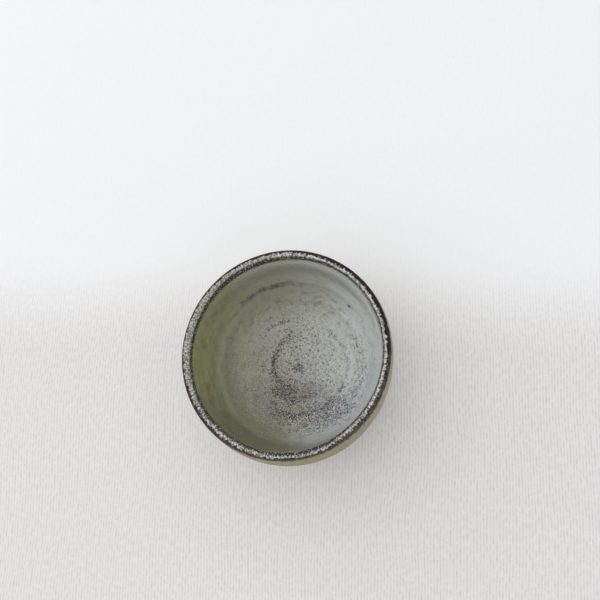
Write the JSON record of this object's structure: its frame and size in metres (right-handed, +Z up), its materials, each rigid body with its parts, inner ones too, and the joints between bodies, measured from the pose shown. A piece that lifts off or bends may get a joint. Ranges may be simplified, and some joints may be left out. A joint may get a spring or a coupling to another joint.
{
  "type": "guinomi sake cup",
  "caption": "Small round stoneware drinking cup with a full bowl, a rounded dark lip, a speckled grey-green inside and a low bare foot ring.",
  "frame": {"origin": "middle of the foot ring's resting face, where the cup's axis meets the table", "axes": "+Z up along the cup's axis, out of the mouth; the cup is round, so X and Y are free"},
  "size_m": [0.0678, 0.0678, 0.043],
  "materials": {
    "bare_clay": "bare iron-rich stoneware, dry and matt, with turning marks",
    "inside_glaze": "satin grey-green glaze with dark iron specks",
    "rim_glaze": "semi-gloss brown black with silvery flecks",
    "outside_glaze": "dull khaki glaze, nearly matt"
  },
  "bodies": {
    "root": {"clay_body": "bare_clay", "inside_glaze": "inside_glaze", "rim_glaze": "rim_glaze", "outside_glaze": "outside_glaze"}
  },
  "joints": []
}
